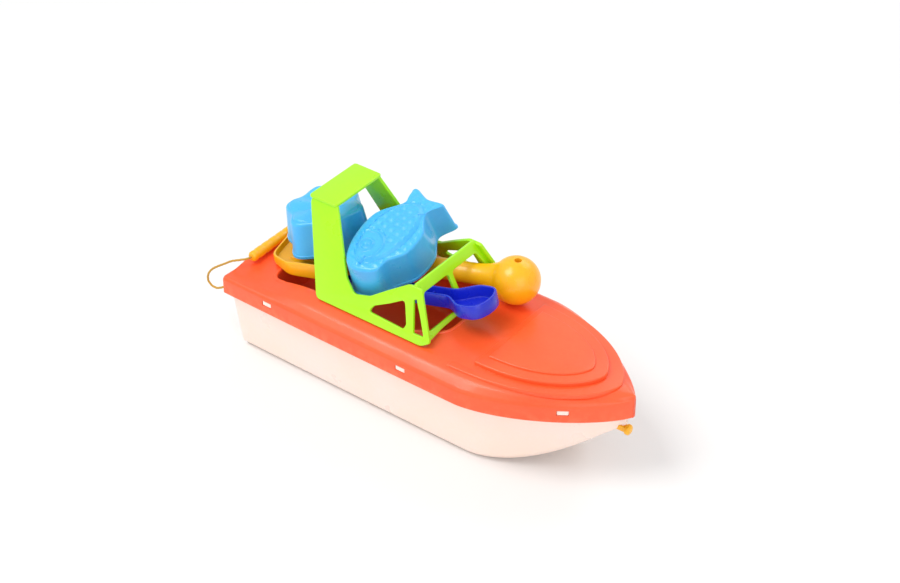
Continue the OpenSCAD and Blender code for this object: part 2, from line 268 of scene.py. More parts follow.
class Groups:
    """Shader node groups that the finishes share."""

    def __init__(self) -> None:
        """Makes the four groups."""
        self.drift = self._drift()
        self.grain = self._grain()
        self.wear = self._wear()
        self.flow = self._flow()

    @staticmethod
    def _new(
        name: str, inputs: dict[str, str], outputs: dict[str, str]
    ) -> tuple[Wiring, bpy.types.Node, bpy.types.Node]:
        """Makes an empty group with its sockets.

        Args:
            name: The group's name.
            inputs: Socket types by input name, such as Color or Float.
            outputs: Socket types by output name.

        Returns:
            The wiring of the group, its input node and its output node.
        """
        tree = bpy.data.node_groups.new(name, "ShaderNodeTree")
        for side, sockets in (("INPUT", inputs), ("OUTPUT", outputs)):
            for label, kind in sockets.items():
                tree.interface.new_socket(label, in_out=side, socket_type="NodeSocket" + kind)
        given = tree.nodes.new("NodeGroupInput")
        result = tree.nodes.new("NodeGroupOutput")
        return Wiring(tree), given, result

    def _drift(self) -> Tree:
        """Makes the group that lets a colour wander between two tones.

        Returns:
            The group's tree.
        """
        sockets = {"Colour": "Color", "Deep": "Color", "Amount": "Float"}
        wires, given, result = self._new("colour_drift", sockets, {"Colour": "Color"})
        broad = wires.noise({"Scale": 14.0, "Detail": 4.0})
        speck = wires.noise({"Scale": 420.0, "Detail": 2.0})
        share = wires.spread(wires.maths("MULTIPLY_ADD", speck, 0.35, broad), (0.50, 0.86))
        scaled = wires.maths("MULTIPLY", share, given.outputs["Amount"])
        mixed = wires.tint(scaled, given.outputs["Colour"], given.outputs["Deep"])
        wires.feed(result.inputs["Colour"], mixed)
        return wires.tree

    def _grain(self) -> Tree:
        """Makes the group for the fine texture that a mould leaves, and its uneven gloss.

        Returns:
            The group's tree.
        """
        sockets = {"Scale": "Float", "Roughness": "Float"}
        results = {"Roughness": "Float", "Height": "Float"}
        wires, given, result = self._new("mould_grain", sockets, results)
        fine = wires.noise({"Scale": given.outputs["Scale"], "Detail": 3.0, "Roughness": 0.6})
        patch = wires.noise({"Scale": 38.0, "Detail": 5.0})
        gloss = wires.spread(patch, (0.35, 0.70), (-0.07, 0.10))
        total = wires.maths("ADD", gloss, given.outputs["Roughness"], held=True)
        wires.feed(result.inputs["Roughness"], total)
        wires.feed(result.inputs["Height"], fine)
        return wires.tree

    def _wear(self) -> Tree:
        """Makes the group for pale scuffs along the edges that rub on sand.

        Returns:
            The group's tree.
        """
        wires, given, result = self._new("edge_wear", {"Amount": "Float"}, {"Mask": "Float"})
        shape = wires.add("NewGeometry", {})
        edges = wires.spread(shape.outputs["Pointiness"], (0.53, 0.62))
        torn = wires.spread(wires.noise({"Scale": 160.0, "Detail": 6.0}), (0.44, 0.62))
        mask = wires.maths("MULTIPLY", edges, torn)
        scaled = wires.maths("MULTIPLY", mask, given.outputs["Amount"], held=True)
        wires.feed(result.inputs["Mask"], scaled)
        return wires.tree

    def _flow(self) -> Tree:
        """Makes the group for the faint waves left where plastic flowed into the mould.

        Returns:
            The group's tree.
        """
        wires, given, result = self._new("flow_waves", {"Scale": "Float"}, {"Height": "Float"})
        settings = {"Scale": given.outputs["Scale"], "Detail": 1.0, "Distortion": 0.8}
        wires.feed(result.inputs["Height"], wires.noise(settings))
        return wires.tree


class Materials:
    """Makes one material for each finish, and keeps them."""

    def __init__(self) -> None:
        """Makes the groups; the materials come when they are asked for."""
        self.groups = Groups()
        self.made: dict[str, bpy.types.Material] = {}

    def of(self, finish: Finish) -> bpy.types.Material:
        """Gives a finish's material, making it the first time.

        Args:
            finish: The finish wanted.

        Returns:
            Its material.
        """
        if finish.slot not in self.made:
            self.made[finish.slot] = self._plastic(finish)
        return self.made[finish.slot]

    def _plastic(self, finish: Finish) -> bpy.types.Material:
        """Builds the shader of one moulded plastic.

        Args:
            finish: The plastic's finish.

        Returns:
            Its material.
        """
        material = bpy.data.materials.new(finish.slot)
        material.use_nodes = True
        wires = Wiring(material.node_tree)
        groups = self.groups
        base, deep, worn = linear(finish.base), linear(finish.deep), linear(finish.worn)
        tones = {"Colour": base, "Deep": deep, "Amount": finish.drift}
        colour = wires.add("Group", tones, groups.drift).outputs["Colour"]
        texture = {"Scale": finish.grain_scale, "Roughness": finish.roughness}
        grain = wires.add("Group", texture, groups.grain)
        scuffs = wires.add("Group", {"Amount": finish.wear}, groups.wear).outputs["Mask"]
        waves = wires.add("Group", {"Scale": WAVES_PER_METRE}, groups.flow).outputs["Height"]
        low = {"Height": waves, "Strength": WAVE_STRENGTH, "Distance": WAVE_HEIGHT}
        broad = wires.add("Bump", low).outputs["Normal"]
        fine = {"Height": grain.outputs["Height"], "Distance": GRAIN_HEIGHT, "Normal": broad}
        skin = wires.add("Bump", {"Strength": finish.grain_depth, **fine})
        surface = {
            "Base Color": wires.tint(scuffs, colour, worn),
            "Roughness": grain.outputs["Roughness"],
            "Normal": skin.outputs["Normal"],
            "Coat Weight": finish.coat,
            "Coat Roughness": 0.12,
            "Subsurface Weight": finish.glow,
            "Subsurface Radius": GLOW_REACH,
            "Subsurface Scale": 1.0,
            "IOR": 1.49,
        }
        shader = material.node_tree.nodes["Principled BSDF"]
        for name, value in surface.items():
            wires.feed(shader.inputs[name], value)
        return material


# ---------------------------------------------------------------- shapes


def mix(start: float, end: float, share: float) -> float:
    """Gives the value a share of the way from start to end."""
    return start + (end - start) * share


def clamp(value: float, low: float = 0.0, high: float = 1.0) -> float:
    """Keeps a value between two others."""
    return max(low, min(high, value))


def bump(distance: float, width: float) -> float:
    """Gives a smooth hill: 1 where distance is 0, and 0 from width on."""
    share = clamp(abs(distance) / width)
    return 1 - share * share * (3 - 2 * share)


def soften(points: Outline, radii: list[float], steps: int = 6, closed: bool = True) -> np.ndarray:
    """Rounds the corners of an outline, always with the same number of points.

    Args:
        points: The corners.
        radii: A radius for each corner.
        steps: Spans along each rounded corner.
        closed: Whether the outline comes back to its start; the ends of an open one stay.

    Returns:
        The rounded outline's points, one row each.
    """
    corners = [np.array(p, float) for p in points]
    count = len(corners)
    made = []
    for index, corner in enumerate(corners):
        if not closed and index in (0, count - 1):
            made.append(corner)
            continue
        before = corners[index - 1] - corner
        after = corners[(index + 1) % count] - corner
        in_length = max(float(np.linalg.norm(before)), 1e-6)
        out_length = max(float(np.linalg.norm(after)), 1e-6)
        cosine = clamp(float(before @ after) / in_length / out_length, -1, 1)
        half_turn = max(math.acos(cosine) / 2, 0.05)
        cut = min(radii[index] / math.tan(half_turn), 0.48 * in_length, 0.48 * out_length)
        start = corner + before / in_length * cut
        end = corner + after / out_length * cut
        for step in range(steps + 1):
            t = step / steps
            made.append((1 - t) ** 2 * start + 2 * t * (1 - t) * corner + t * t * end)
    return np.array(made)


def curve(points: np.ndarray, spans: int, closed: bool) -> np.ndarray:
    """Runs a smooth curve through points.

    Args:
        points: The points to pass through, one row each.
        spans: Spans between two of them.
        closed: Whether the curve comes back to its start.

    Returns:
        The curve's points, one row each.
    """
    count = len(points)
    last = count if closed else count - 1

    def at(index: int) -> np.ndarray:
        """Gives a point by its index; past the ends, a closed curve goes round."""
        return points[index % count] if closed else points[max(0, min(count - 1, index))]

    made = []
    for index in range(last):
        a, b, c, d = at(index - 1), at(index), at(index + 1), at(index + 2)
        for step in range(spans):
            t = step / spans
            square = (2 * a - 5 * b + 4 * c - d) * t * t
            cube = (3 * b - a - 3 * c + d) * t**3
            made.append(0.5 * (2 * b + (c - a) * t + square + cube))
    if not closed:
        made.append(points[-1])
    return np.array(made)


def inset(outline: np.ndarray, depth: float) -> np.ndarray:
    """Moves an anticlockwise outline inwards.

    Args:
        outline: The outline's points, one row each.
        depth: How far it moves; negative moves it outwards.

    Returns:
        The moved points.
    """
    along = np.roll(outline, -1, axis=0) - np.roll(outline, 1, axis=0)
    length = np.linalg.norm(along, axis=1, keepdims=True)
    along = along / np.maximum(length, 1e-9)
    return outline + depth * np.column_stack([-along[:, 1], along[:, 0]])


def raised(outline: np.ndarray, height: float, scale: float = 1.0) -> np.ndarray:
    """Places a flat outline at a height, scaled about the origin."""
    return np.column_stack([outline * scale, np.full(len(outline), height)])


def turned(x: float, y: float, z: float) -> Matrix:
    """Gives the turn about X, then Y, then Z, in degrees.

    Args:
        x: The turn about X.
        y: The turn about Y.
        z: The turn about Z.

    Returns:
        The turn.
    """
    about_z = Matrix.Rotation(math.radians(z), 4, "Z")
    about_y = Matrix.Rotation(math.radians(y), 4, "Y")
    about_x = Matrix.Rotation(math.radians(x), 4, "X")
    return about_z @ about_y @ about_x


def moved(x: float, y: float, z: float) -> Matrix:
    """Gives the move by three lengths in millimetres."""
    return Matrix.Translation(Vector((x, y, z)))


class Form:
    """A mesh in the making: points in millimetres and the faces between them."""

    def __init__(self) -> None:
        """Starts an empty form."""
        self.points: list[tuple[float, float, float]] = []
        self.faces: list[tuple[int, ...]] = []

    def add(self, other: "Form", place: Matrix | None = None) -> "Form":
        """Adds another form's faces.

        Args:
            other: The form to add.
            place: Where it goes, or None to leave it where it is.

        Returns:
            This form.
        """
        base = len(self.points)
        for point in other.points:
            self.points.append(tuple(place @ Vector(point)) if place else tuple(point))
        self.faces += [tuple(base + index for index in face) for face in other.faces]
        return self

    def loft(self, rings: list[np.ndarray], caps: bool = True, looped: bool = False) -> "Form":
        """Joins rings of equally many points.

        Args:
            rings: The rings, in order.
            caps: Whether the first and the last ring are filled.
            looped: Whether the last ring joins the first.

        Returns:
            This form.
        """
        base = len(self.points)
        size = len(rings[0])
        for ring in rings:
            self.points += [tuple(float(v) for v in point) for point in ring]
        spans = len(rings) if looped else len(rings) - 1
        for row in range(spans):
            near = base + row * size
            far = base + (row + 1) % len(rings) * size
            for k in range(size):
                after = (k + 1) % size
                self.faces.append((near + k, near + after, far + after, far + k))
        if caps and not looped:
            end = base + (len(rings) - 1) * size
            self.faces.append(tuple(base + k for k in reversed(range(size))))
            self.faces.append(tuple(end + k for k in range(size)))
        return self

    def spin(self, profile: list[tuple[float, float]], sides: int = 64) -> "Form":
        """Turns a profile about the X axis.

        Args:
            profile: Places along X, each with a radius.
            sides: Faces round the axis.

        Returns:
            This form.
        """
        rings = []
        for along, radius in profile:
            angles = [math.tau * k / sides for k in range(sides)]
            rings.append(
                np.array([(along, radius * math.cos(a), radius * math.sin(a)) for a in angles])
            )
        return self.loft(rings)

    def mesh(self, name: str) -> bpy.types.Mesh:
        """Makes the Blender mesh, in metres, with its faces turned outwards.

        Args:
            name: The mesh's name.

        Returns:
            The mesh.
        """
        data = bpy.data.meshes.new(name)
        data.from_pydata([tuple(v * MM for v in p) for p in self.points], [], self.faces)
        data.update()
        working = bmesh.new()
        working.from_mesh(data)
        bmesh.ops.remove_doubles(working, verts=working.verts, dist=JOIN_WITHIN)
        bmesh.ops.recalc_face_normals(working, faces=working.faces)
        working.to_mesh(data)
        working.free()
        return data


def flat_form(outlines: list[np.ndarray], depth: float, edge: float) -> Form:
    """Makes a flat plate with rounded edges, and with holes.

    Args:
        outlines: The outer outline, then the holes.
        depth: The plate's thickness, from Z = 0 up.
        edge: The radius of its edges.

    Returns:
        The plate.
    """
    # A curve's offset goes inwards for one direction of its outline, so the plate whose width
    # is the outline's own is the right one of the two.
    wanted = float(np.ptp(outlines[0][:, 0]))
    for reverse in (False, True):
        data = bpy.data.curves.new("plate", "CURVE")
        data.dimensions = "2D"
        data.fill_mode = "BOTH"
        data.extrude = depth / 2 - edge
        data.bevel_depth = edge
        data.bevel_resolution = 3
        data.offset = -edge
        for index, outline in enumerate(outlines):
            ring = outline[::-1] if (index > 0) != reverse else outline
            spline = data.splines.new("POLY")
            spline.points.add(len(ring) - 1)
            for point, (x, y) in zip(spline.points, ring):
                point.co = (x, y, 0, 1)
            spline.use_cyclic_u = True
        holder = bpy.data.objects.new("plate", data)
        bpy.context.scene.collection.objects.link(holder)
        graph = bpy.context.evaluated_depsgraph_get()
        made = bpy.data.meshes.new_from_object(holder.evaluated_get(graph))
        form = Form()
        form.points = [(v.co.x, v.co.y, v.co.z + depth / 2) for v in made.vertices]
        form.faces = [tuple(face.vertices) for face in made.polygons]
        bpy.data.objects.remove(holder)
        bpy.data.meshes.remove(made)
        span = max(p[0] for p in form.points) - min(p[0] for p in form.points)
        if abs(span - wanted) < edge:
            break
    return form


class Workshop:
    """Turns forms into finished pieces that ride on the frame's bodies."""

    def __init__(self) -> None:
        """Makes the store of materials."""
        self.materials = Materials()

    def piece(
        self,
        name: str,
        form: Form,
        finish: Finish,
        body: Body,
        stands_for: tuple[str, ...] = (),
        cuts: tuple[Form, ...] = (),
    ) -> bpy.types.Object:
        """Makes one finished piece.

        Args:
            name: The piece's name.
            form: Its shape.
            finish: Its plastic.
            body: The body that it rides on.
            stands_for: The CAD nodes that it replaces.
            cuts: Shapes cut out of it.

        Returns:
            The piece.
        """
        data = form.mesh(name)
        made = bpy.data.objects.new(name, data)
        bpy.context.scene.collection.objects.link(made)
        for cut in cuts:
            self._cut(made, cut)
        made.data.materials.clear()
        made.data.materials.append(self.materials.of(finish))
        made.data.shade_smooth()
        made.data.set_sharp_from_angle(angle=SMOOTH_ANGLE)
        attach(made, body.value)
        if stands_for:
            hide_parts(*stands_for)
        LOG.info("%s: %d faces", name, len(made.data.polygons))
        return made

    @staticmethod
    def _cut(made: bpy.types.Object, cut: Form) -> None:
        """Cuts one closed shape out of a piece.

        Args:
            made: The piece.
            cut: The shape to cut out.
        """
        tool = bpy.data.objects.new("cutter", cut.mesh("cutter"))
        bpy.context.scene.collection.objects.link(tool)
        modifier = made.modifiers.new("cut", "BOOLEAN")
        modifier.operation = "DIFFERENCE"
        modifier.solver = "EXACT"
        modifier.object = tool
        graph = bpy.context.evaluated_depsgraph_get()
        result = bpy.data.meshes.new_from_object(made.evaluated_get(graph))
        made.modifiers.remove(modifier)
        made.data = result
        bpy.data.objects.remove(tool)


# ---------------------------------------------------------------- the boat


@dataclass(frozen=True)
class BoatShape:
    """The boat's lines, in millimetres, as in the design.

    Attributes:
        half: Half the deck's length, from the frame.
        beam: The deck's greatest width, from the frame.
        skirt_z: The height of the deck's lower edge.
        deck_z: The height of the deck's edge.
        wall: The thickness of the hull and the deck.
        sheer: How far the side deck rises above its edge.
        crown: How far the middle rises above that.
        full_x: Where the bow starts to taper.
        inset: How far the hull stays inside the deck's edge.
        chine: The size of the hull's lower corner.
        lip_z: The height of the hull's hidden lip.
        hull_x0: The hull's stern.
        hull_x1: The hull's bow.
        cockpit_x0: The cockpit's stern end.
        cockpit_x1: The cockpit's bow end.
        cockpit_half: Half the cockpit's width.
        floor_z: The height of the cockpit's floor.
        slots: Where the snap slots are along each side.
        slot_z: The height of their middles.
    """

    half: float = round(BOX_AT_LOAD[1][0] / MM, 1)
    beam: float = round(2 * BOX_AT_LOAD[1][1] / MM, 1)
    skirt_z: float = 62.0
    deck_z: float = 77.0
    wall: float = 2.2
    sheer: float = 9.0
    crown: float = 4.0
    full_x: float = 60.0
    inset: float = 6.0
    chine: float = 6.0
    lip_z: float = 71.0
    hull_x0: float = -176.0
    hull_x1: float = 174.0
    cockpit_x0: float = -144.0
    cockpit_x1: float = 22.0
    cockpit_half: float = 46.0
    floor_z: float = 40.0
    slots: tuple[float, ...] = (-132.0, 7.0, 140.0)
    slot_z: float = 71.0

    def taper(self, x: float) -> float:
        """Gives how far into the bow a place is, from 0 to 1."""
        return max(0.0, (x - self.full_x) / (self.half - self.full_x))

    def deck_half(self, x: float) -> float:
        """Gives the deck's half-width at a place along the boat.

        Args:
            x: The place along the boat.

        Returns:
            The half-width.
        """
        if x < self.full_x:
            back = (self.full_x - x) / (self.full_x + self.half)
            return self.beam / 2 * (1 - 0.03 * back**2)
        return self.beam / 2 * max(0.0, 1 - self.taper(x) ** 1.55) ** 0.79

    def rise(self, x: float) -> float:
        """Gives how far the side deck stands above the skirt's top.

        Args:
            x: The place along the boat.

        Returns:
            The height.
        """
        if x < -self.half * 0.2:
            share = clamp((x + self.half * 0.9) / (self.half * 0.38))
            return self.sheer * (0.5 - 0.5 * math.cos(math.pi * share))
        return self.sheer * (1 - 0.75 * self.taper(x) ** 1.5)

    def hull_side(self, x: float, depth: float) -> np.ndarray:
        """Gives the hull's half-section, from the keel up.

        Args:
            x: The place along the boat.
            depth: How far the section lies inside the hull's skin.

        Returns:
            Points of (half-width, height), one row each.
        """
        forward = max(0.0, (x - self.half * 0.3) / (self.half * 0.7))
        keel = (self.skirt_z - 4) * forward**2.3 + depth
        skin = max(2.2, self.deck_half(x + self.inset * self.taper(x)) - self.inset)
        foot_skin = max(0.8, skin * (0.84 - 0.4 * self.taper(x) ** 2))
        side = max(0.6, skin - depth)
        foot = max(0.5, foot_skin - depth)
        cut = min(self.chine, foot * 0.6)
        corners = [
            (0, keel), (foot - cut, keel), (foot - cut * 0.3, keel + cut * 0.3),
            (mix(foot, side, cut / self.skirt_z), keel + cut),
            (mix(foot, side, 0.55), mix(keel + cut, self.skirt_z, 0.5)), (side, self.skirt_z),
            (side, self.lip_z),
        ]
        return soften(corners, [0, 6, 6, 6, 60, 12, 0], 5, closed=False)

    def deck_side(self, x: float, depth: float) -> np.ndarray:
        """Gives the deck's half-section, from the middle out.

        Args:
            x: The place along the boat.
            depth: How far the section lies inside the deck's skin.

        Returns:
            Points of (half-width, height), one row each.
        """
        side = max(1.4 - depth * 0.4, self.deck_half(x) - depth)
        top = self.deck_z - depth
        up = self.rise(x)
        corners = [
            (0, top + up + self.crown), (side * 0.45, top + up + self.crown * 0.8),
            (side * 0.76, top + up), (side * 0.89, top + up * 0.62 + 0.4),
            (side * 0.97, top + 0.9), (side, top - 1.5), (side, self.skirt_z),
        ]
        return soften(corners, [0, 90, 30, 12, 7, 3, 0], 6, closed=False)

    def top_at(self, x: float, y: float) -> float:
        """Gives the height of the deck's top at a place."""
        side = self.deck_side(x, 0)
        return float(np.interp(abs(y), side[:, 0], side[:, 1]))

    def wall_ring(self, x: float, outer: np.ndarray, inner: np.ndarray) -> np.ndarray:
        """Gives the ring round a thin wall.

        Args:
            x: The place along the boat.
            outer: The half-section of one of its faces.
            inner: The half-section of the other.

        Returns:
            The ring's points, one row each.
        """
        whole = []
        for side in (outer, inner):
            left = side[:0:-1] * np.array([-1, 1])
            whole.append(np.vstack([left, side]))
        ring = np.vstack([whole[0], whole[1][::-1]])
        return np.column_stack([np.full(len(ring), x), ring])

    def cockpit(self, grow: float) -> np.ndarray:
        """Gives the cockpit's outline, grown by a little.

        Args:
            grow: How far it grows.

        Returns:
            The outline's points, one row each.
        """
        w = self.cockpit_half + grow
        x0, x1 = self.cockpit_x0 - grow, self.cockpit_x1 + grow
        corners = [(x0, -w), (x1 - 34, -w), (x1, -w * 0.62), (x1, w * 0.62), (x1 - 34, w), (x0, w)]
        return soften(corners, [r + grow for r in (10, 20, 14, 14, 20, 10)], 12)

    def bow_panel(self, edge: float, x0: float) -> np.ndarray:
        """Gives the outline of a raised panel on the foredeck.

        Args:
            edge: How far the panel stays inside the deck's edge.
            x0: Where the panel starts.

        Returns:
            The outline's points, one row each.
        """
        x1 = self.half - edge * 1.15
        width = self.deck_half(x0) - edge
        right = []
        steps = 60
        for k in range(steps + 1):
            share = math.sin(math.pi / 2 * k / steps)
            right.append((mix(x0, x1, share), max(0.05, width * (1 - share**2.2) ** 0.62)))
        lower = [(x, -w) for x, w in right]
        return np.array(lower + right[::-1])


@dataclass(frozen=True)
class Boat:
    """The hull, the deck over it, and what is fixed to them.

    Attributes:
        shop: Where the pieces are made.
        lines: The boat's lines.
        stations: How many spans the hull and the deck have along the boat.
        crowding: How much closer together the sections are at the bow.
        slot_gap: The gap round each snap tab.
        nose: The length of the deck's closed tip.
        plug_z: The height of the bow plug.
    """

    shop: Workshop
    lines: BoatShape
    stations: int = 110
    crowding: float = 1.6
    slot_gap: float = 0.35
    nose: float = 5.0
    plug_z: float = 47.12

    def build(self) -> None:
        """Makes every piece of the boat itself."""
        self.hull()
        self.deck()
        self.tow_handle()
        self.cleat()

    def _stations(self, start: float, end: float) -> list[float]:
        """Gives places along the boat, closer together towards the bow."""
        shares = [1 - (1 - k / self.stations) ** self.crowding for k in range(self.stations + 1)]
        return [mix(start, end, share) for share in shares]

    def _tab(self, x: float, side: int, grow: float, out: float) -> Form:
        """Makes a snap tab, or the cutter for its slot.

        Args:
            x: The place along the boat.
            side: The side of the boat, 1 or -1.
            grow: How far the block grows all round.
            out: How far it stands out of the deck's face.

        Returns:
            The block.
        """
        lines = self.lines
        slope = math.atan2(lines.deck_half(x + 1) - lines.deck_half(x - 1), 2)
        length, height = 9 + 2 * grow, 4 + 2 * grow
        reach = lines.inset + lines.wall / 2 + out
        corners = [(0, 0), (length, 0), (length, reach), (0, reach)]
        block = flat_form([soften(corners, [0.8] * 4, 4)], height, 0.5)
        corner = moved(-length / 2, -lines.inset - lines.wall / 2, -height / 2)
        turn = Matrix.Rotation(slope, 4, "Z")
        flip = Matrix.Scale(side, 4, Vector((0, 1, 0)))
        place = flip @ moved(x, lines.deck_half(x), lines.slot_z) @ turn @ corner
        return Form().add(block, place)

    def hull(self) -> None:
        """Makes the white hull with its snap tabs."""
        lines = self.lines
        rings = [
            lines.wall_ring(x, lines.hull_side(x, 0), lines.hull_side(x, lines.wall))
            for x in self._stations(lines.hull_x0, lines.hull_x1)
        ]
        form = Form().loft(rings)
        side = lines.hull_side(lines.hull_x0, lines.wall * 0.3)
        side[-1, 1] -= 1
        outline = np.vstack([side[:0:-1] * np.array([-1, 1]), side])
        transom = flat_form([outline], lines.wall, 0.4)
        form.add(transom, moved(lines.hull_x0 - 0.3, 0, 0) @ turned(90, 0, 90))
        for x in lines.slots:
            for hand in (-1, 1):
                form.add(self._tab(x, hand, 0, -0.2))
        self.shop.piece("hull_shell", form, WHITE, Body.BOAT, ("hull",))

    def deck(self) -> None:
        """Makes the coral deck: its skin, with the cockpit's mouth and the slots, and the rest."""
        lines = self.lines
        rings = [
            lines.wall_ring(x, lines.deck_side(x, lines.wall), lines.deck_side(x, 0))
            for x in self._stations(-lines.half, lines.half)
        ]
        skin = Form().loft(rings)
        mouth = lines.cockpit(0.8)
        opening = Form().loft([raised(mouth, 30), raised(mouth, 120)])
        slots = Form()
        for x in lines.slots:
            for hand in (-1, 1):
                slots.add(self._tab(x, hand, self.slot_gap, 3))
        self.shop.piece("deck_skin", skin, CORAL, Body.BOAT, ("deck",), (opening, slots))
        self.shop.piece("deck_fittings", self._fittings(), CORAL, Body.BOAT)

    def _fittings(self) -> Form:
        """Makes the cockpit's tub, the transom, the foredeck's panels and the bow's tip.

        Returns:
            All of them, as one form.
        """
        lines = self.lines
        fittings = self._tub()
        side = lines.deck_side(-lines.half, 0)
        outline = np.vstack([side[:0:-1] * np.array([-1, 1]), side])
        transom = flat_form([outline], lines.wall + 1, 0.7)
        fittings.add(transom, moved(-lines.half - 0.4, 0, 0) @ turned(90, 0, 90))
        top = lines.deck_z + lines.sheer + lines.crown
        panels = ((12, 44, top - 3.8, 5.0), (24, 62, top, 6.0), (34, 68, top + 1.6, 3.0))
        for edge, x0, height, depth in panels:
            panel = flat_form([lines.bow_panel(edge, x0)], depth, 1.1)
            fittings.add(panel, moved(0, 0, height - depth))
        nose = [(-1.7, 61.8), (1.7, 61.8), (1.7, 77), (0.4, 82.4), (-0.4, 82.4), (-1.7, 77)]
        plug = flat_form([soften(nose, [0.5] * 6, 3)], self.nose, 0.5)
        return fittings.add(plug, moved(lines.half - self.nose, 0, 0) @ turned(90, 0, 90))

    def _tub(self) -> Form:
        """Makes the cockpit's tub, from its underside round its lip to its floor.

        Returns:
            The tub.
        """
        lines = self.lines

        def on_deck(grow: float, up: float) -> np.ndarray:
            """Gives the cockpit's outline, grown a little, a little above the deck's top."""
            outline = lines.cockpit(grow)
            heights = [lines.top_at(x, y) + up for x, y in outline]
            return np.column_stack([outline, heights])

        floor = lines.floor_z
        rings = [raised(lines.cockpit(-6), floor - lines.wall)]
        rings.append(raised(lines.cockpit(lines.wall - 1.5), floor - lines.wall))
        rings.append(raised(lines.cockpit(lines.wall), floor - lines.wall + 1.5))
        rings.append(on_deck(lines.wall, -1.6))
        for grow, up in ((3.0, -0.8), (3.2, 0.2), (2.8, 0.8), (1.9, 1.05), (0.9, 0.8), (0.2, 0.0)):
            rings.append(on_deck(grow, up))
        rings.append(on_deck(-0.1, -2.0))
        rings.append(raised(lines.cockpit(-0.8), floor + 5.0))
        for turn in (20, 45, 70, 90):
            angle = math.radians(turn)
            grow = -0.8 - 4.5 * (1 - math.cos(angle))
            rings.append(raised(lines.cockpit(grow), floor + 5.0 - 5.0 * math.sin(angle)))
        tub = Form().loft(rings)
        corners = [(-145, -38), (-129, -38), (-129, 38), (-145, 38)]
        step = flat_form([soften(corners, [2, 5, 5, 2], 5)], 13.1, 1.6)
        tub.add(step, moved(0, 0, floor - 1))
        return tub

    def tow_handle(self) -> None:
        """Makes the orange bar that the tow line is tied to."""
        grip = [(0.0, 0.6), (0.0, 2.6), (0.5, 3.7), (1.6, 4.4)]
        grooves, pitch = 9, 9
        for k in range(grooves):
            centre = 6 + k * pitch
            grip += [(centre - 1.6, 4.5), (centre - 0.8, 4.2)]
            grip += [(centre + 0.8, 4.2), (centre + 1.6, 4.5)]
        grip += [(82.4, 4.4), (83.5, 3.7), (84.0, 2.6), (84.0, 0.6)]
        form = Form().add(Form().spin(grip, 48), moved(-171.5, -42, 85.8) @ turned(0, 0, 90))
        self.shop.piece("tow_bar", form, YELLOW, Body.BOAT, ("tow_handle",))

    def cleat(self) -> None:
        """Makes the small yellow plug at the bow."""
        corners = [(-2.5, -2.5), (2.5, -2.5), (2.5, 2.5), (-2.5, 2.5)]
        stem = flat_form([soften(corners, [0.7] * 4, 4)], 21, 0.4)
        form = Form().add(stem, moved(156, 0, self.plug_z) @ turned(90, 0, 90))
        head = [(0, 0.4), (0, 4.0), (0.5, 4.4), (1.2, 4.5)]
        head += [(2.8, 4.4), (3.6, 3.6), (4.0, 2.4), (4.0, 0.3)]
        form.add(Form().spin(head, 48), moved(self.lines.hull_x1, 0, self.plug_z))
        self.shop.piece("bow_plug", form, YELLOW, Body.BOAT, ("bow_cleat",))


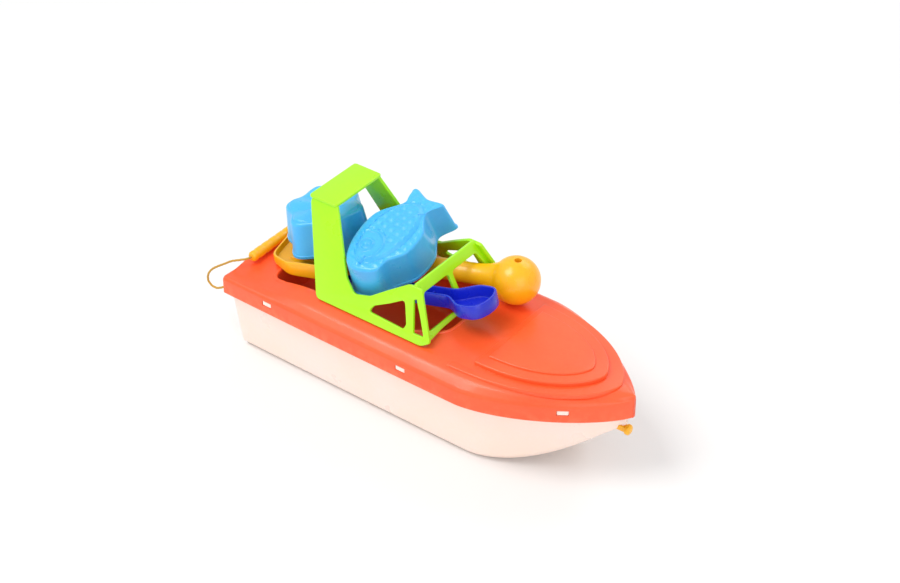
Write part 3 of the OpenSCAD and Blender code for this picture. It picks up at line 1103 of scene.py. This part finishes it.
@dataclass(frozen=True)
class Cabin:
    """The lime frame over the cockpit: two leaning sides, a windshield and a roll bar.

    Attributes:
        x0: The foot's stern end.
        x1: The foot's bow end.
        width: The width over its feet.
        lean: How far the sides lean inwards, in degrees.
        depth: The thickness of its bars.
        sill: The height of its feet.
        height: The roll bar's height above them.
        bar: The windshield's height above them.
        lean_x: How far the roll bar leans towards the stern.
        band: The roll bar's width.
        tilt: How far the windshield leans back, in degrees.
        edge: The radius of its edges.
    """

    x0: float = -91.0
    x1: float = 21.0
    width: float = 110.0
    lean: float = 20.0
    depth: float = 3.0
    sill: float = 87.5
    height: float = 75.0
    bar: float = 39.0
    lean_x: float = 25.0
    band: float = 28.0
    tilt: float = 27.0
    edge: float = 0.75

    @property
    def slant(self) -> float:
        """How much longer a height is when it is measured along a side."""
        return 1 / math.cos(math.radians(self.lean))

    @property
    def top_x(self) -> float:
        """Where the windshield's top is along the boat."""
        return self.x1 - math.tan(math.radians(self.tilt)) * self.bar

    @property
    def roof_y(self) -> float:
        """Half the roll bar's length."""
        return self.width / 2 - math.tan(math.radians(self.lean)) * self.height

    def build(self, shop: Workshop) -> None:
        """Makes the frame as one piece.

        Args:
            shop: Where pieces are made.
        """
        form = Form()
        side = flat_form(self._side_outlines(), self.depth, self.edge)
        for hand in (1, -1):
            flip = Matrix.Scale(hand, 4, Vector((0, 1, 0)))
            lean = moved(0, -self.width / 2, self.sill) @ turned(90 - self.lean, 0, 0)
            form.add(side, flip @ lean @ moved(0, 0, -self.depth))
        front = moved(self.x1, 0, self.sill) @ turned(90 - self.tilt, 0, 90)
        shield = flat_form(self._front_outlines(), self.depth, self.edge)
        form.add(shield, front @ moved(0, 0, -self.depth))
        y = self.roof_y + self.depth / 2
        x0 = self.x0 - self.lean_x
        corners = [(x0, -y), (x0 + self.band, -y), (x0 + self.band, y), (x0, y)]
        roof = flat_form([soften(corners, [3] * 4, 6)], self.depth, 1.0)
        form.add(roof, moved(0, 0, self.sill + self.height - 1))
        shop.piece("cabin", form, LIME, Body.BOAT, ("cabin_frame",))

    def _side_outlines(self) -> list[np.ndarray]:
        """Gives a side's outline and its two windows, along its own slope.

        Returns:
            The outline, then the windows.
        """
        x0, x1, top = self.x0, self.x1, self.top_x
        bar, roof = self.bar * self.slant, self.height * self.slant
        outer = [
            (x0, 0), (x1 - 6, 0), (x1 + 2, 5), (top + 4, bar + 3), (top - 8, bar + 3),
            (top - 26, bar - 9), (x0 + 50, 21), (x0 + 35, 17), (x0 + 25, 27),
            (x0 - self.lean_x + self.band, roof), (x0 - self.lean_x, roof),
        ]
        long_window = [
            (x0 + 52, 8.5), (x1 - 25, 7), (x1 - 23, 12), (top - 9, bar - 11),
            (top - 22, bar - 19), (x0 + 56, 15),
        ]
        short_window = [(x1 - 15, 7.5), (x1 - 5, 8), (top + 2, bar - 6), (top - 1, bar - 8)]
        return [
            soften(outer, [6, 10, 3, 3, 10, 12, 8, 5, 12, 1, 5], 8),
            soften(long_window, [3] * 6, 6),
            soften(short_window, [1.2] * 4, 6),
        ]

    def _front_outlines(self) -> list[np.ndarray]:
        """Gives the windshield's outline and its two openings, up its own slope.

        Returns:
            The outline, then the openings.
        """
        half = self.width / 2 - 4
        height = self.bar / math.cos(math.radians(self.tilt))
        top = half - math.tan(math.radians(self.lean)) * self.bar
        outer = [
            (-half, 2.4), (-half * 0.6, 5), (0, 5.8), (half * 0.6, 5), (half, 2.4),
            (top + 2, height + 5), (-top - 2, height + 5),
        ]
        right = [(2.5, 9.5), (half - 5, 9.5), (top - 3, height - 5), (2.5, height - 5)]
        left = [(-x, s) for x, s in reversed(right)]
        outlines = [soften(outer, [1, 20, 20, 20, 1, 4, 4], 6)]
        outlines += [soften(right, [4] * 4, 6), soften(left, [4] * 4, 6)]
        return outlines


# ---------------------------------------------------------------- sand moulds


@dataclass(frozen=True)
class Toy:
    """Something that lies loose in the boat.

    Attributes:
        at: Where its own zero point stands.
        turn: Its turn about X, then Y, then Z, in degrees.
    """

    at: Place
    turn: Place

    def place(self) -> Matrix:
        """Gives the way from the toy's own axes to the boat's."""
        return moved(*self.at) @ turned(*self.turn)


@dataclass(frozen=True)
class Mould(Toy):
    """A hollow sand mould, open below, whose closed face carries a relief.

    Attributes:
        name: Its piece's name.
        body: The body that it rides on, which has its node's name.
        flare: How much wider its mouth is than its closed face.
        depth: Its depth.
        wall: Its thickness.
        rounding: The radius round its closed face.
        spans: Rings along its side.
        rows: Rings across its closed face.
    """

    name: str
    body: Body
    flare: float
    depth: float = 32.0
    wall: float = 2.0
    rounding: float = 3.0
    spans: int = 8
    rows: int = 56

    def plan(self) -> np.ndarray:
        """Gives the closed face's outline.

        Returns:
            Points about the mould's middle, one row each.
        """
        raise NotImplementedError

    def relief(self, x: float, y: float, share: float) -> float:
        """Gives the height of the relief at a place on the closed face.

        Args:
            x: The place along the face.
            y: The place across the face.
            share: How far out the place is, from 0 in the middle to 1 at the outline.

        Returns:
            The height above the face.
        """
        raise NotImplementedError

    def build(self, shop: Workshop) -> None:
        """Makes the mould as one piece.

        Args:
            shop: Where pieces are made.
        """
        plan = self.plan()
        inner = inset(plan, self.wall)
        ceiling = self.depth - self.wall
        flare = self.flare
        inside = [(ceiling, 0.05), (ceiling, 0.93), (ceiling - 0.6, 0.985), (ceiling - 2.2, 1.0)]
        inside += [(1.2, flare), (0.2, flare * 1.006)]
        lip = [(0.0, 0.99), (0.3, 1.012), (2.4, 1.012), (3.0, 0.994)]
        rings = [raised(inner, height, scale) for height, scale in inside]
        rings += [raised(plan, height, flare * scale) for height, scale in lip]
        for k in range(1, self.spans + 1):
            share = k / self.spans
            height = mix(3.0, self.depth - self.rounding, share)
            rings.append(raised(plan, height, mix(self.flare * 0.99, 1.0, share)))
        reach = self.rounding / float(np.abs(plan).max())
        for turn in (15, 30, 45, 60, 75, 90):
            angle = math.radians(turn)
            height = self.depth - self.rounding + self.rounding * math.sin(angle)
            rings.append(raised(plan, height, 1 - reach * (1 - math.cos(angle))))
        for k in range(1, self.rows + 1):
            share = (1 - reach) * (1 - k / (self.rows + 1))
            ring = raised(plan, self.depth, share)
            ring[:, 2] += [self.relief(x, y, share) for x, y, _ in ring]
            rings.append(ring)
        form = Form().add(Form().loft(rings), self.place())
        shop.piece(self.name, form, BLUE, self.body, (self.body.value,))


@dataclass(frozen=True)
class FishMould(Mould):
    """The fish: scales, fins, a gill and a round eye stand out from its face.

    Attributes:
        half: Half its length.
        side: Half its width.
    """

    half: float = 45.0
    side: float = 27.0

    def plan(self) -> np.ndarray:
        """Gives the fish's outline."""
        f, g = self.half, self.side
        points = [
            (-f, -g * 0.1), (-f * 0.82, -g * 0.66), (-f * 0.52, -g * 0.72), (-f * 0.2, -g),
            (f * 0.25, -g * 0.9), (f * 0.6, -g * 0.45), (f * 0.96, -g * 0.62), (f * 0.9, 0),
            (f * 0.96, g * 0.62), (f * 0.62, g * 0.5), (f * 0.1, g), (-f * 0.55, g * 0.85),
            (-f * 0.95, g * 0.4),
        ]
        return curve(np.array(points), 16, closed=True)

    def relief(self, x: float, y: float, share: float) -> float:
        """Gives the height of the fish's relief; see Mould.relief."""
        f, g = self.half, self.side
        edge = clamp((0.93 - share) / 0.06)
        belly = math.hypot((x + 3) / 33, y / 18)
        body = 2.6 * clamp((1.06 - belly) / 0.12)
        height = body
        eye = math.hypot(x + f * 0.52, y - g * 0.2)
        height += 1.5 * bump(eye - 5.6, 1.6) + 2.2 * bump(eye, 3.8)
        if eye > 9 and belly < 0.98:
            height += 1.3 * bump(eye - 14.5, 1.6)
        if eye > 17 and belly < 0.92 and x > -12:
            height += 0.8 * abs(math.cos(x * 0.42)) * abs(math.cos(y * 0.42))
        if belly > 1.08:
            ribs = math.cos(y * 0.95) if x > 20 else math.cos(x * 0.95)
            height += 0.9 * (0.5 + 0.5 * ribs)
        if x < -f * 0.72:
            height -= 1.6 * bump(y + 2.5, 1.8)
        return height * edge


@dataclass(frozen=True)
class ShellMould(Mould):
    """The shell: ribs run out from its middle between two rings.

    Attributes:
        radius: Its mean radius.
        lobes: How many lobes it has.
        wave: How far its lobes stand out, as a share of its radius.
    """

    radius: float = 31.0
    lobes: int = 6
    wave: float = 0.09

    def plan(self) -> np.ndarray:
        """Gives the shell's outline."""
        points = []
        sides = 192
        for k in range(sides):
            angle = math.tau * k / sides
            radius = self.radius * (1 + self.wave * math.cos(self.lobes * angle))
            points.append((radius * math.cos(angle), radius * math.sin(angle)))
        return np.array(points)

    def relief(self, x: float, y: float, share: float) -> float:
        """Gives the height of the shell's relief; see Mould.relief."""
        edge = clamp((0.92 - share) / 0.06)
        angle = math.atan2(y, x)
        rib = abs(math.cos(self.lobes / 2 * angle)) ** 1.5
        height = 2.0 * rib * clamp((share - 0.22) / 0.12)
        height += 1.5 * bump(share - 0.24, 0.06) + 2.0 * bump(share, 0.14)
        return height * edge


# ---------------------------------------------------------------- hand tools


@dataclass(frozen=True)
class Shovel(Toy):
    """The shovel: a dished blade and a thick handle that swells into a ball with a hole.

    Attributes:
        grip: The handle's radius beside the blade.
        ball: The ball's radius.
        hole: The radius of the hole through it.
        ball_x: Where the ball's middle is along the shovel.
        blade_l: The blade's length.
        blade_w: The blade's width.
        blade_h: The height of the blade's rim beside the handle.
        fall: How the rim falls towards the tip, in degrees.
        wall: The blade's thickness.
    """

    grip: float = 7.0
    ball: float = 20.0
    hole: float = 3.0
    ball_x: float = 211.0
    blade_l: float = 76.0
    blade_w: float = 68.0
    blade_h: float = 14.0
    fall: float = 12.0
    wall: float = 2.0

    def _plan(self, grow: float) -> np.ndarray:
        """Gives the blade's outline, grown by a little.

        Args:
            grow: How far it grows.

        Returns:
            The outline's points, one row each.
        """
        w, x1 = self.blade_w / 2 + grow, self.blade_l + grow
        third = self.blade_l * 0.3
        corners = [
            (-grow, -w * 0.55), (third, -w), (x1 - 14, -w), (x1, -w * 0.5), (x1, w * 0.5),
            (x1 - 14, w), (third, w), (-grow, w * 0.55),
        ]
        return soften(corners, [14, 20, 12, 8, 8, 12, 20, 14], 10)

    def _rim(self, grow: float, drop: float) -> np.ndarray:
        """Gives a ring along the blade's rim, which falls towards its tip.

        Args:
            grow: How far the ring is moved outwards.
            drop: How far below the rim it lies.

        Returns:
            The ring's points, one row each.
        """
        outline = self._plan(grow)
        slope = math.tan(math.radians(self.fall))
        heights = [min(self.blade_h, 4.9 + (x + 10) * slope) - drop for x, _ in outline]
        return np.column_stack([outline, heights])

    def build(self, shop: Workshop) -> None:
        """Makes the shovel's handle and blade.

        Args:
            shop: Where pieces are made.
        """
        place = self.place()
        grip = Form().add(self._handle(), place @ moved(0, 0, self.grip))
        bore = Form().spin([(-40, self.hole), (60, self.hole)], 40)
        cutter = Form().add(bore, place @ moved(self.ball_x + 3, 0, 0) @ turned(0, -90, 0))
        shop.piece("shovel_grip", grip, YELLOW, Body.SHOVEL, (), (cutter,))
        blade = Form().add(self._blade(), place)
        shop.piece("shovel_blade", blade, YELLOW, Body.SHOVEL, ("shovel",))

    def _blade(self) -> Form:
        """Makes the dished blade, with its three ribs.

        Returns:
            The blade.
        """
        wall = self.wall
        rings = [raised(self._plan(0), 0.0, 0.9)]
        for grow, height in ((-1.2, 0.0), (-0.3, 0.5), (0, 1.5)):
            rings.append(raised(self._plan(grow), height))
        for grow, drop in ((0, 0.7), (-0.25, 0.15), (-1.0, 0.0), (-1.75, 0.15), (-wall, 0.7)):
            rings.append(self._rim(grow, drop))
        for step, height in ((0.1, 2.2), (0.8, 0.6), (2.4, 0), (9, 0)):
            rings.append(raised(self._plan(-wall - step), wall + height))
        blade = Form().loft(rings)
        for y in (-12.0, 0.0, 12.0):
            corners = [(14, y - 1.2), (62, y - 1.2), (62, y + 1.2), (14, y + 1.2)]
            rib = flat_form([soften(corners, [1.1] * 4, 5)], 1.8, 0.5)
            blade.add(rib, moved(0, 0, wall - 0.9))
        return blade

    def _handle(self) -> Form:
        """Makes the handle, which swells towards its ball.

        Returns:
            The handle.
        """
        profile = [(71.0, 0.3), (71.0, self.grip)]
        start, end, steps = 74.0, self.ball_x + self.ball, 96
        for k in range(steps + 1):
            x = mix(start, end - 0.05, k / steps)
            swell = clamp((x - 176) / 26)
            bell = self.grip + 1.8 * clamp((x - 84) / 60) + 7.0 * swell * swell
            gap = self.ball**2 - (x - self.ball_x) ** 2
            ball = math.sqrt(max(gap, 0.0))
            blend = ball if x > self.ball_x - 6 else max(ball, bell)
            profile.append((x, max(blend, 0.3)))
        return Form().spin(profile, 72)


@dataclass(frozen=True)
class Rake(Toy):
    """The rake: a channel handle with a rounded end, a head bar and its tines.

    Attributes:
        length: The handle's length, up to its rounded tip.
        end_l: The length of its wide end.
        end_w: The width of its wide end.
        width: The handle's width.
        head_w: The head's width.
        tines: How many tines it has.
        webs: Where the webs in the channel are.
    """

    length: float = 146.0
    end_l: float = 34.0
    end_w: float = 34.0
    width: float = 12.0
    head_w: float = 62.0
    tines: int = 5
    webs: tuple[float, ...] = (34.0, 62.0, 90.0)

    def build(self, shop: Workshop) -> None:
        """Makes the rake as one piece.

        Args:
            shop: Where pieces are made.
        """
        length, neck = self.length, self.length - self.end_l
        w, e = self.width / 2, self.end_w / 2
        wide = length - self.end_l * 0.55
        corners = [(0, -w), (neck, -w), (wide, -e), (length, -e), (length + 6, 0), (length, e)]
        corners += [(wide, e), (neck, w), (0, w)]
        outline = soften(corners, [3, 14, 16, 15, 26, 15, 16, 14, 3], 12)
        underside = [(2.5, -6.0), (0.8, -6.0), (0.2, -5.6), (0, -4.8)]
        rim = [(0, 5.4), (0.25, 5.85), (1.0, 6.0), (1.75, 5.85), (2.0, 5.4)]
        channel = [(2.1, -3.4), (2.5, -4.0)]
        steps = underside + rim + channel
        form = Form().loft([raised(inset(outline, step), height) for step, height in steps])
        half = self.head_w / 2
        bar = [(-8, -half), (1, -half), (1, half), (-8, half)]
        form.add(flat_form([soften(bar, [3, 3, 3, 3], 6)], 6, 1.2), moved(0, 0, -6))
        tine = [(-20.0, 0.2), (-19.9, 0.9), (-19.4, 1.4), (-18.6, 1.6), (-12, 2.3), (-5.0, 3.5)]
        for k in range(self.tines):
            y = -half + 4 + k * (self.head_w - 8) / (self.tines - 1)
            form.add(Form().spin(tine, 28), moved(-3.5, y, 0) @ turned(0, -90, 0))
        corners = [(0, -5), (1.4, -5), (1.4, 5), (0, 5)]
        for x in self.webs:
            web = flat_form([soften(corners, [0.5] * 4, 3)], 6.5, 0.3)
            form.add(web, moved(x, 0, -4.2))
        shop.piece("rake_body", Form().add(form, self.place()), NAVY, Body.RAKE, ("rake",))


# ---------------------------------------------------------------- the tow cord


@dataclass(frozen=True)
class TowCord:
    """The thin twisted cord from the bar round to the transom.

    Attributes:
        diameter: Its thickness.
        strands: How many strands are twisted together.
        pitch: The length of one turn of the twist.
        sides: Faces round it.
        spans: Spans between two points of its route.
        route: The points that it passes through.
    """

    diameter: float = 2.0
    strands: int = 3
    pitch: float = 5.0
    sides: int = 18
    spans: int = 10
    route: tuple[Place, ...] = (
        (-172, -42, 86), (-173, -46, 86), (-178, -50, 85), (-186, -51, 81), (-195, -50, 74),
        (-204, -49, 67), (-212, -48, 60), (-217, -48, 53), (-218, -48, 46), (-214, -48, 42),
        (-208, -48, 42), (-201, -48, 46), (-194, -48, 52), (-186, -48, 57), (-175.6, -48, 59),
    )

    def build(self, shop: Workshop) -> None:
        """Makes the cord.

        Args:
            shop: Where pieces are made.
        """
        line = curve(np.array(self.route, float), self.spans, closed=False)
        spans = np.linalg.norm(np.diff(line, axis=0), axis=1)
        travelled = np.concatenate([[0.0], np.cumsum(spans)])
        rings = []
        sides, strands, pitch = self.sides, self.strands, self.pitch
        for k, point in enumerate(line):
            before = line[max(0, k - 1)]
            after = line[min(len(line) - 1, k + 1)]
            along = (after - before) / np.linalg.norm(after - before)
            across = np.cross(along, np.array([0.2, 1.0, 0.1]))
            across = across / np.linalg.norm(across)
            over = np.cross(along, across)
            ring = []
            for j in range(sides):
                angle = math.tau * j / sides
                phase = strands * (angle - math.tau * travelled[k] / pitch / strands)
                radius = self.diameter / 2 * (0.92 + 0.08 * math.cos(phase))
                ring.append(point + radius * (math.cos(angle) * across + math.sin(angle) * over))
            rings.append(np.array(ring))
        piece = shop.piece("tow_line", Form().loft(rings), TWINE, Body.BOAT, ("tow_cord",))


# ---------------------------------------------------------------- the studio


@dataclass(frozen=True)
class View:
    """The camera's place.

    Attributes:
        azimuth: Where it stands round the boat, in degrees.
        elevation: How far above the floor it looks from, in degrees.
        distance: How far it is from the boat.
        lens: Its focal length.
        height: The height of the boat's middle.
        aside: How far it aims to the right of that.
        above: How far it aims above that.
    """

    azimuth: float = 37.0
    elevation: float = 36.3
    distance: float = 1700.0
    lens: float = 84.0
    height: float = 62.0
    aside: float = 2.43
    above: float = 32.2


@dataclass(frozen=True)
class Studio:
    """The camera, the lights and the pale floor.

    Attributes:
        view: The camera's place.
        floor_reach: How far the floor goes, in metres.
        floor_z: The floor's height, just under the boat, in metres.
    """

    view: View
    floor_reach: float = 6.0
    floor_z: float = -0.0002

    def build(self) -> None:
        """Makes the studio."""
        self._camera()
        self._floor()
        self._world()
        self._light("key", (-0.55, -0.75, 1.55), 0.9, 15.0, (1.0, 0.985, 0.96))
        self._light("fill", (1.5, -0.9, 0.9), 1.4, 7.0, (0.96, 0.98, 1.0))
        self._light("back", (0.1, 1.4, 1.3), 1.1, 6.0, (1.0, 1.0, 1.0))

    def _camera(self) -> None:
        """Places the camera."""
        view = self.view
        az, el = math.radians(view.azimuth), math.radians(view.elevation)
        back = Vector((math.sin(az) * math.cos(el), -math.cos(az) * math.cos(el), math.sin(el)))
        right = Vector((math.cos(az), math.sin(az), 0))
        up = back.cross(right)
        aim = Vector((0, 0, view.height)) + right * view.aside + up * view.above
        place = (aim + back * view.distance) * MM
        data = bpy.data.cameras.new("camera")
        data.lens = view.lens
        data.sensor_width = 36.0
        data.sensor_fit = "HORIZONTAL"
        data.clip_start = 0.05
        camera = bpy.data.objects.new("camera", data)
        turn = Matrix((right, up, back)).transposed().to_4x4()
        camera.matrix_world = Matrix.Translation(place) @ turn
        bpy.context.scene.collection.objects.link(camera)
        bpy.context.scene.camera = camera

    def _floor(self) -> None:
        """Makes the pale floor."""
        data = bpy.data.meshes.new("floor")
        reach, level = self.floor_reach, self.floor_z
        corners = [(-reach, -reach), (reach, -reach), (reach, reach), (-reach, reach)]
        data.from_pydata([(x, y, level) for x, y in corners], [], [(0, 1, 2, 3)])
        floor = bpy.data.objects.new("floor", data)
        bpy.context.scene.collection.objects.link(floor)
        material = bpy.data.materials.new("floor")
        material.use_nodes = True
        shader = material.node_tree.nodes["Principled BSDF"]
        shader.inputs["Base Color"].default_value = (0.86, 0.86, 0.86, 1)
        shader.inputs["Roughness"].default_value = 0.6
        floor.data.materials.append(material)

    @staticmethod
    def _world() -> None:
        """Makes the even, pale surroundings."""
        world = bpy.data.worlds.new("studio")
        world.use_nodes = True
        sky = world.node_tree.nodes["Background"]
        sky.inputs["Color"].default_value = (1.0, 1.0, 1.0, 1)
        sky.inputs["Strength"].default_value = 0.75
        bpy.context.scene.world = world
        bpy.context.scene.view_settings.view_transform = "Standard"

    @staticmethod
    def _light(
        name: str,
        place: Place,
        size: float,
        power: float,
        colour: Colour,
    ) -> None:
        """Adds one soft light that faces the boat.

        Args:
            name: The light's name.
            place: Where it hangs, in metres.
            size: The width of its panel, in metres.
            power: Its power, in watts.
            colour: Its colour.
        """
        data = bpy.data.lights.new(name, "AREA")
        data.size = size
        data.energy = power
        data.color = colour
        light = bpy.data.objects.new(name, data)
        light.location = place
        away = Vector(place) - Vector((0, 0, 0.06))
        light.rotation_euler = away.to_track_quat("Z", "Y").to_euler()
        bpy.context.scene.collection.objects.link(light)


def main() -> None:
    """Builds the studio and every piece."""
    logging.basicConfig(level=logging.INFO)
    shop = Workshop()
    Studio(View()).build()
    TowCord().build(shop)
    Boat(shop, BoatShape()).build()
    Cabin().build(shop)
    fish_at, shell_at = (-49.4, 6.2, 112.4), (-124, 4, 100)
    FishMould(fish_at, (0, -20, 80), "fish_shape", Body.FISH, 1.08).build(shop)
    ShellMould(shell_at, (0, -8, 20), "shell_shape", Body.SHELL, 1.10).build(shop)
    Shovel(at=(-162, -14, 82.6), turn=(0, -5.4, 14.2)).build(shop)
    Rake(at=(-94, -14, 78), turn=(0, -15, 2)).build(shop)


if __name__ == "__main__":
    main()
